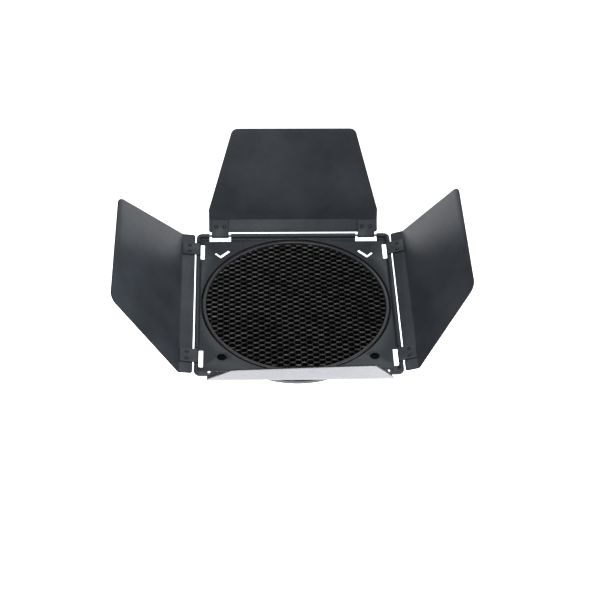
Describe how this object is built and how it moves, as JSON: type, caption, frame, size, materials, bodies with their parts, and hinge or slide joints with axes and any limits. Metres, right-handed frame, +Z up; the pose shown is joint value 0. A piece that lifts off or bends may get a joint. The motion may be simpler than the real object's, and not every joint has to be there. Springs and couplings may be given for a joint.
{
  "type": "barn door attachment",
  "caption": "Square lamp front with hinged tapering shutters on every side, a round honeycomb grid, a collar for a round reflector and sliding octagonal colour filters.",
  "frame": {"origin": "on the optical axis, in the plane of the collar's rear rim, where the attachment meets the lamp", "axes": "+Z is the throw direction, out of the front of the grid; -Y is the side that the filters slide out of; +X is to the right seen from that side with +Z up"},
  "size_m": [0.3364, 0.3167, 0.1311],
  "materials": {
    "plate_paint": "satin black baked paint on sheet steel",
    "door_paint": "satin black baked paint on sheet steel",
    "leaf_paint": "satin black paint",
    "rivet_paint": "black rivet",
    "wire_steel": "blackened steel wire",
    "grid_rim": "black anodised, satin",
    "honeycomb": "black anodised foil",
    "cassette": "satin black moulded plastic",
    "filter_red": "smooth saturated film",
    "filter_green": "smooth saturated film",
    "filter_blue": "smooth saturated film",
    "filter_yellow": "smooth saturated film"
  },
  "bodies": {
    "frame": {"front_plate": "plate_paint", "hinge_wire": "wire_steel", "grid_rim": "grid_rim", "grid_honeycomb": "honeycomb", "grid_seat": "plate_paint", "filter_rail_left": "plate_paint", "filter_rail_right": "plate_paint", "reflector_collar": "plate_paint"},
    "filter_holder_red": {"cassette_red": "cassette", "filter_red": "filter_red"},
    "filter_holder_green": {"cassette_green": "cassette", "filter_green": "filter_green"},
    "filter_holder_blue": {"cassette_blue": "cassette", "filter_blue": "filter_blue"},
    "filter_holder_yellow": {"cassette_yellow": "cassette", "filter_yellow": "filter_yellow"},
    "door_far": {"door_far": "door_paint", "leaf_far_1": "leaf_paint", "leaf_far_2": "leaf_paint", "rivet_far_1": "rivet_paint", "rivet_far_2": "rivet_paint", "rivet_far_3": "rivet_paint", "rivet_far_4": "rivet_paint"},
    "door_left": {"door_left": "door_paint", "leaf_left_1": "leaf_paint", "leaf_left_2": "leaf_paint", "rivet_left_1": "rivet_paint", "rivet_left_2": "rivet_paint", "rivet_left_3": "rivet_paint", "rivet_left_4": "rivet_paint"},
    "door_near": {"door_near": "door_paint", "leaf_near_1": "leaf_paint", "leaf_near_2": "leaf_paint", "rivet_near_1": "rivet_paint", "rivet_near_2": "rivet_paint", "rivet_near_3": "rivet_paint", "rivet_near_4": "rivet_paint"},
    "door_right": {"door_right": "door_paint", "leaf_right_1": "leaf_paint", "leaf_right_2": "leaf_paint", "rivet_right_1": "rivet_paint", "rivet_right_2": "rivet_paint", "rivet_right_3": "rivet_paint", "rivet_right_4": "rivet_paint"}
  },
  "joints": [
    {"name": "far_door_hinge", "type": "hinge", "parent": "frame", "child": "door_far", "pos_m": [0, 0.0976, 0.0262], "axis": [1, 0, 0], "range_deg": [-70, 107]},
    {"name": "left_door_hinge", "type": "hinge", "parent": "frame", "child": "door_left", "pos_m": [-0.0976, 0, 0.0262], "axis": [0, 1, 0], "range_deg": [-50, 102]},
    {"name": "near_door_hinge", "type": "hinge", "parent": "frame", "child": "door_near", "pos_m": [0, -0.0976, 0.0262], "axis": [-1, 0, 0], "range_deg": [-53.2, 116.8]},
    {"name": "right_door_hinge", "type": "hinge", "parent": "frame", "child": "door_right", "pos_m": [0.0976, 0, 0.0262], "axis": [0, -1, 0], "range_deg": [-60, 88]},
    {"name": "red_filter_slide", "type": "slide", "parent": "frame", "child": "filter_holder_red", "axis": [0, -1, 0], "range_m": [0, 0.19]},
    {"name": "green_filter_slide", "type": "slide", "parent": "frame", "child": "filter_holder_green", "axis": [0, -1, 0], "range_m": [0, 0.19]},
    {"name": "blue_filter_slide", "type": "slide", "parent": "frame", "child": "filter_holder_blue", "axis": [0, -1, 0], "range_m": [0, 0.19]},
    {"name": "yellow_filter_slide", "type": "slide", "parent": "frame", "child": "filter_holder_yellow", "axis": [0, -1, 0], "range_m": [0, 0.19]}
  ]
}
